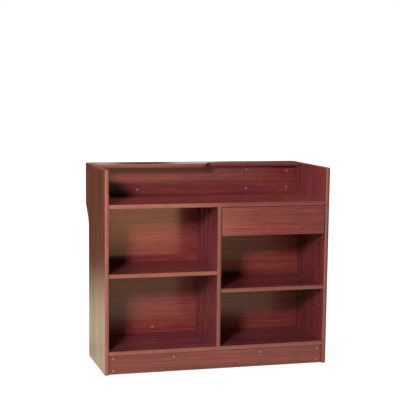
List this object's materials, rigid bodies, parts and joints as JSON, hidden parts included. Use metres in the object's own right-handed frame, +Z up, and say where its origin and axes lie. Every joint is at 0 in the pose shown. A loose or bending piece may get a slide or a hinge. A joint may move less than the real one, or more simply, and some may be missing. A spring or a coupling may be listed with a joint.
{
  "type": "shop counter",
  "caption": "Shop counter with a stepped upper ledge, a work top, a roller drawer and open shelf bays on the clerk's side.",
  "frame": {"origin": "middle of the bounding box at floor level, under the floor glides", "axes": "+X to the right as the clerk sees it, +Y from the clerk's open side towards the customers, +Z up"},
  "size_m": [1.2192, 0.5462, 1.0668],
  "materials": {
    "laminate": "satin red-brown woodgrain laminate",
    "moulding": "satin",
    "cam_cap": "satin",
    "zinc_casting": "cast zinc alloy",
    "steel": "bright zinc plate",
    "box_board": "plain board",
    "hardboard": "smooth hardboard",
    "beech": "bare beech",
    "nylon": "satin",
    "runner_enamel": "baked enamel"
  },
  "bodies": {
    "cabinet": {"left_side_panel": "laminate", "right_side_panel": "laminate", "left_side_edging": "moulding", "right_side_edging": "moulding", "divider": "laminate", "divider_edging": "moulding", "work_top": "laminate", "work_top_edging": "moulding", "base_deck": "laminate", "base_deck_edging": "moulding", "front_kick_plate": "laminate", "rear_kick_plate": "laminate", "lower_back": "laminate", "upper_back": "laminate", "ledge": "laminate", "ledge_edging": "moulding", "back_cam_locks": "zinc_casting", "kick_cam_locks": "zinc_casting", "deck_cam_locks": "zinc_casting", "back_cam_bolts": "steel", "kick_cam_bolts": "steel", "deck_cam_bolts": "steel", "back_cam_caps": "cam_cap", "kick_cam_caps": "cam_cap", "deck_cam_caps": "cam_cap", "wood_dowels": "beech", "floor_glides": "nylon", "left_shelf_pins": "steel", "right_shelf_pins": "steel", "left_cabinet_runner": "runner_enamel", "right_cabinet_runner": "runner_enamel", "cabinet_runner_screws": "steel", "front_roller_axles": "steel"},
    "drawer": {"drawer_front": "laminate", "drawer_front_edging": "moulding", "drawer_inner_front": "box_board", "drawer_left_side": "box_board", "drawer_right_side": "box_board", "drawer_rear": "box_board", "drawer_bottom": "hardboard", "drawer_corner_screws": "steel", "drawer_front_screws": "steel", "left_drawer_runner": "runner_enamel", "right_drawer_runner": "runner_enamel", "drawer_runner_screws": "steel", "rear_roller_axles": "steel"},
    "left_shelf": {"left_shelf": "laminate", "left_shelf_edging": "moulding"},
    "right_shelf": {"right_shelf": "laminate", "right_shelf_edging": "moulding"},
    "left_front_roller": {"left_front_roller": "nylon"},
    "right_front_roller": {"right_front_roller": "nylon"},
    "left_rear_roller": {"left_rear_roller": "nylon"},
    "right_rear_roller": {"right_rear_roller": "nylon"}
  },
  "joints": [
    {"name": "drawer_slide", "type": "slide", "parent": "cabinet", "child": "drawer", "axis": [0, -1, 0], "range_m": [0, 0.262]},
    {"name": "left_shelf_slide", "type": "slide", "parent": "cabinet", "child": "left_shelf", "axis": [0, -1, 0], "range_m": [0, 0.12]},
    {"name": "right_shelf_slide", "type": "slide", "parent": "cabinet", "child": "right_shelf", "axis": [0, -1, 0], "range_m": [0, 0.12]},
    {"name": "left_front_roller_turn", "type": "hinge", "parent": "cabinet", "child": "left_front_roller", "pos_m": [0.0166, -0.23345, 0.7379], "axis": [1, 0, 0], "continuous": true},
    {"name": "right_front_roller_turn", "type": "hinge", "parent": "cabinet", "child": "right_front_roller", "pos_m": [0.5827, -0.23345, 0.7379], "axis": [1, 0, 0], "continuous": true},
    {"name": "left_rear_roller_turn", "type": "hinge", "parent": "drawer", "child": "left_rear_roller", "pos_m": [0.0166, 0.08255, 0.7379], "axis": [1, 0, 0], "continuous": true},
    {"name": "right_rear_roller_turn", "type": "hinge", "parent": "drawer", "child": "right_rear_roller", "pos_m": [0.5827, 0.08255, 0.7379], "axis": [1, 0, 0], "continuous": true}
  ],
  "couplings": [
    {"joint": "left_front_roller_turn", "follows": "drawer_slide", "rad_per_m": 95.238},
    {"joint": "right_front_roller_turn", "follows": "drawer_slide", "rad_per_m": 95.238},
    {"joint": "left_rear_roller_turn", "follows": "drawer_slide", "rad_per_m": 95.238},
    {"joint": "right_rear_roller_turn", "follows": "drawer_slide", "rad_per_m": 95.238}
  ]
}
